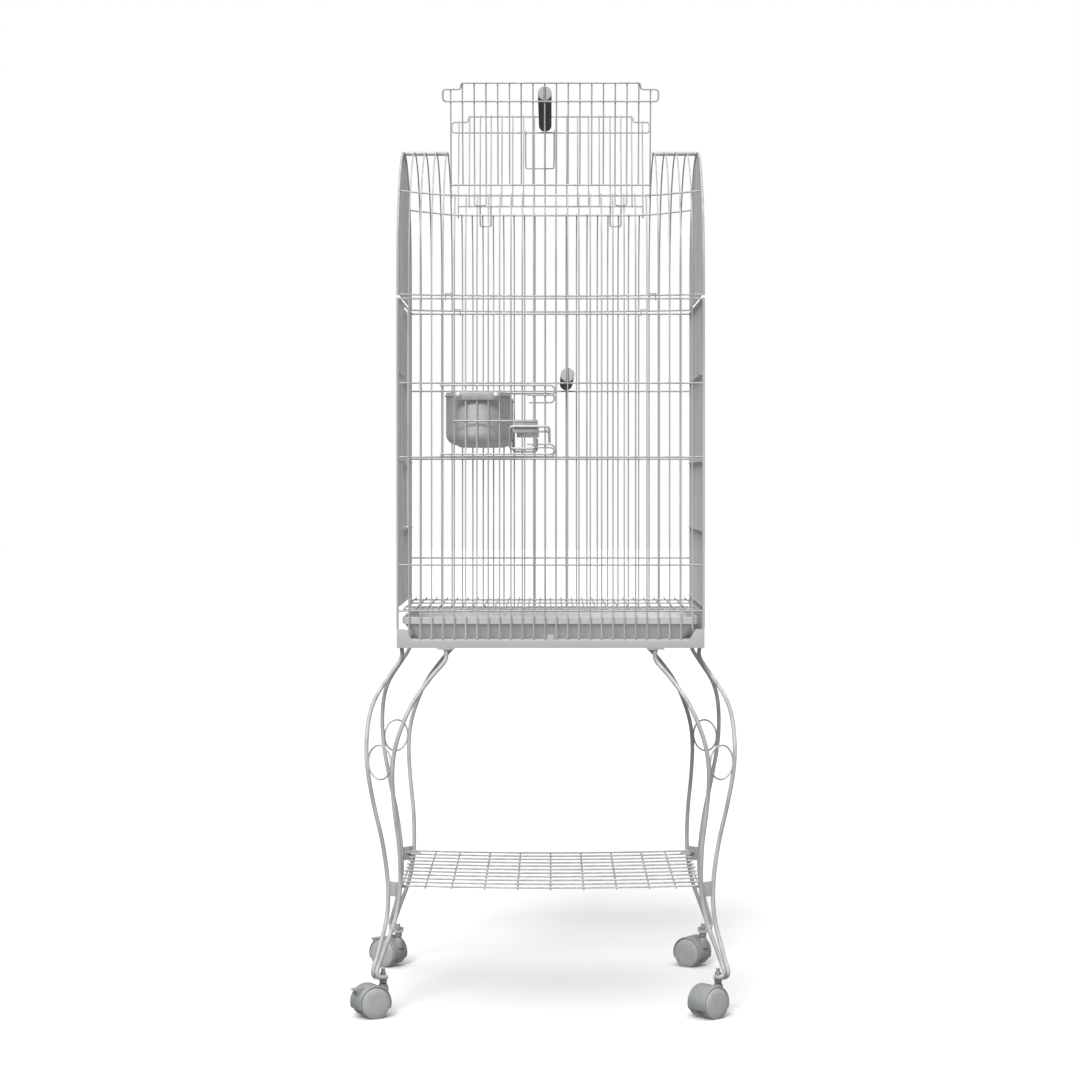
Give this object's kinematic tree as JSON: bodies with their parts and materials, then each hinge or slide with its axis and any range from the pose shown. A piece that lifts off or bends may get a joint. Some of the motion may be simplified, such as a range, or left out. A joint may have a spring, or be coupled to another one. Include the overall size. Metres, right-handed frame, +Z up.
{
  "type": "bird_cage_on_stand",
  "caption": "Play-top bird cage of pale wire with an open split roof, perches, steel feeder cups and a slide-out tray, on a curved-leg stand with a shelf and swivel casters.",
  "frame": {"origin": "on the floor, under the middle of the whole outline, casters included", "axes": "+Z up, +X to the right of someone facing the feeder doors, -Y is the front"},
  "size_m": [0.6424, 0.5368, 1.5236],
  "materials": {
    "powder_coat": "light grey powder coat, satin",
    "tray_plastic": "off-white, smooth",
    "perch_plastic": "charcoal, matt",
    "stainless": "brushed stainless steel",
    "zinc": "bright zinc plating",
    "caster_plastic": "mid-grey moulded plastic"
  },
  "bodies": {
    "frame": {"base_frame": "powder_coat", "front_panel": "powder_coat", "back_panel": "powder_coat", "left_panel": "powder_coat", "right_panel": "powder_coat", "front_vault": "powder_coat", "back_vault": "powder_coat", "left_arch": "powder_coat", "right_arch": "powder_coat", "left_ridge_bar": "powder_coat", "right_ridge_bar": "powder_coat", "front_left_clip": "powder_coat", "front_right_clip": "powder_coat", "back_left_clip": "powder_coat", "back_right_clip": "powder_coat", "front_flap": "powder_coat", "back_flap": "powder_coat", "front_left_leg": "powder_coat", "front_right_leg": "powder_coat", "back_left_leg": "powder_coat", "back_right_leg": "powder_coat", "shelf": "powder_coat", "front_left_stem": "zinc", "front_right_stem": "zinc", "back_left_stem": "zinc", "back_right_stem": "zinc"},
    "front_door": {"front_feeder_door": "powder_coat", "front_cup_holder": "zinc", "front_cup": "stainless", "front_latch_plate": "zinc"},
    "back_door": {"back_feeder_door": "powder_coat", "back_cup_holder": "zinc", "back_cup": "stainless", "back_latch_plate": "zinc"},
    "front_latch_rod": {"front_latch": "zinc"},
    "back_latch_rod": {"back_latch": "zinc"},
    "side_door": {"main_door": "powder_coat", "main_latch_plate": "zinc"},
    "side_latch_rod": {"main_latch": "zinc"},
    "roof_lock_loop": {"roof_lock": "powder_coat"},
    "top_perch_rod": {"top_perch": "perch_plastic"},
    "inner_perch_rod": {"inner_perch": "perch_plastic"},
    "tray_body": {"tray": "tray_plastic"},
    "grate_body": {"grate": "powder_coat"},
    "front_left_swivel_body": {"front_left_caster": "caster_plastic"},
    "front_left_inner_wheel_body": {"front_left_inner_wheel": "caster_plastic"},
    "front_left_outer_wheel_body": {"front_left_outer_wheel": "caster_plastic"},
    "front_left_brake_body": {"front_left_brake": "caster_plastic"},
    "front_right_swivel_body": {"front_right_caster": "caster_plastic"},
    "front_right_inner_wheel_body": {"front_right_inner_wheel": "caster_plastic"},
    "front_right_outer_wheel_body": {"front_right_outer_wheel": "caster_plastic"},
    "back_left_swivel_body": {"back_left_caster": "caster_plastic"},
    "back_left_inner_wheel_body": {"back_left_inner_wheel": "caster_plastic"},
    "back_left_outer_wheel_body": {"back_left_outer_wheel": "caster_plastic"},
    "back_left_brake_body": {"back_left_brake": "caster_plastic"},
    "back_right_swivel_body": {"back_right_caster": "caster_plastic"},
    "back_right_inner_wheel_body": {"back_right_inner_wheel": "caster_plastic"},
    "back_right_outer_wheel_body": {"back_right_outer_wheel": "caster_plastic"}
  },
  "joints": [
    {"name": "front_door_hinge", "type": "hinge", "parent": "frame", "child": "front_door", "pos_m": [-0.15901, -0.20609, 0.97], "axis": [0, 0, -1], "range_deg": [0, 110]},
    {"name": "back_door_hinge", "type": "hinge", "parent": "frame", "child": "back_door", "pos_m": [-0.15901, 0.20891, 0.97], "axis": [0, 0, 1], "range_deg": [0, 110]},
    {"name": "front_latch_slide", "type": "slide", "parent": "front_door", "child": "front_latch_rod", "axis": [-1, 0, 0], "range_m": [0, 0.014]},
    {"name": "back_latch_slide", "type": "slide", "parent": "back_door", "child": "back_latch_rod", "axis": [-1, 0, 0], "range_m": [0, 0.014]},
    {"name": "main_door_hinge", "type": "hinge", "parent": "frame", "child": "side_door", "pos_m": [-0.23308, -0.05259, 0.98], "axis": [0, 0, 1], "range_deg": [0, 110]},
    {"name": "main_latch_slide", "type": "slide", "parent": "side_door", "child": "side_latch_rod", "axis": [0, -1, 0], "range_m": [0, 0.014]},
    {"name": "roof_lock_swing", "type": "hinge", "parent": "frame", "child": "roof_lock_loop", "pos_m": [-0.00218, 0.20052, 1.49212], "axis": [1, 0, 0], "range_deg": [0, 150]},
    {"name": "top_perch_lift", "type": "slide", "parent": "frame", "child": "top_perch_rod", "axis": [0, 0, 1], "range_m": [0, 0.06]},
    {"name": "inner_perch_lift", "type": "slide", "parent": "frame", "child": "inner_perch_rod", "axis": [0, 0, 1], "range_m": [0, 0.1]},
    {"name": "tray_slide", "type": "slide", "parent": "frame", "child": "tray_body", "axis": [-1, 0, 0], "range_m": [0, 0.4]},
    {"name": "grate_slide", "type": "slide", "parent": "frame", "child": "grate_body", "axis": [-1, 0, 0], "range_m": [0, 0.4]},
    {"name": "front_left_swivel", "type": "hinge", "parent": "frame", "child": "front_left_swivel_body", "pos_m": [-0.25578, -0.22059, 0.05], "axis": [0, 0, 1], "continuous": true},
    {"name": "front_left_inner_spin", "type": "hinge", "parent": "front_left_swivel_body", "child": "front_left_inner_wheel_body", "pos_m": [-0.26761, -0.24463, 0.025], "axis": [-0.4848, 0.8746, 0], "continuous": true},
    {"name": "front_left_outer_spin", "type": "hinge", "parent": "front_left_swivel_body", "child": "front_left_outer_wheel_body", "pos_m": [-0.28244, -0.21787, 0.025], "axis": [-0.4848, 0.8746, 0], "continuous": true},
    {"name": "front_left_brake_lever", "type": "hinge", "parent": "front_left_swivel_body", "child": "front_left_brake_body", "pos_m": [-0.30073, -0.2455, 0.03687], "axis": [0.4848, -0.8746, 0], "range_deg": [0, 12]},
    {"name": "front_right_swivel", "type": "hinge", "parent": "frame", "child": "front_right_swivel_body", "pos_m": [0.28962, -0.22059, 0.05], "axis": [0, 0, 1], "continuous": true},
    {"name": "front_right_inner_spin", "type": "hinge", "parent": "front_right_swivel_body", "child": "front_right_inner_wheel_body", "pos_m": [0.28305, -0.24657, 0.025], "axis": [-0.6561, 0.7547, 0], "continuous": true},
    {"name": "front_right_outer_spin", "type": "hinge", "parent": "front_right_swivel_body", "child": "front_right_outer_wheel_body", "pos_m": [0.26298, -0.22347, 0.025], "axis": [-0.6561, 0.7547, 0], "continuous": true},
    {"name": "back_left_swivel", "type": "hinge", "parent": "frame", "child": "back_left_swivel_body", "pos_m": [-0.25578, 0.22341, 0.05], "axis": [0, 0, 1], "continuous": true},
    {"name": "back_left_inner_spin", "type": "hinge", "parent": "back_left_swivel_body", "child": "back_left_inner_wheel_body", "pos_m": [-0.28252, 0.22163, 0.025], "axis": [0.515, 0.8572, 0], "continuous": true},
    {"name": "back_left_outer_spin", "type": "hinge", "parent": "back_left_swivel_body", "child": "back_left_outer_wheel_body", "pos_m": [-0.26676, 0.24786, 0.025], "axis": [0.515, 0.8572, 0], "continuous": true},
    {"name": "back_left_brake_lever", "type": "hinge", "parent": "back_left_swivel_body", "child": "back_left_brake_body", "pos_m": [-0.29983, 0.24988, 0.03687], "axis": [-0.515, -0.8572, 0], "range_deg": [0, 12]},
    {"name": "back_right_swivel", "type": "hinge", "parent": "frame", "child": "back_right_swivel_body", "pos_m": [0.28962, 0.22341, 0.05], "axis": [0, 0, 1], "continuous": true},
    {"name": "back_right_inner_spin", "type": "hinge", "parent": "back_right_swivel_body", "child": "back_right_inner_wheel_body", "pos_m": [0.26282, 0.2235, 0.025], "axis": [0.5736, 0.8192, 0], "continuous": true},
    {"name": "back_right_outer_spin", "type": "hinge", "parent": "back_right_swivel_body", "child": "back_right_outer_wheel_body", "pos_m": [0.28037, 0.24857, 0.025], "axis": [0.5736, 0.8192, 0], "continuous": true}
  ]
}
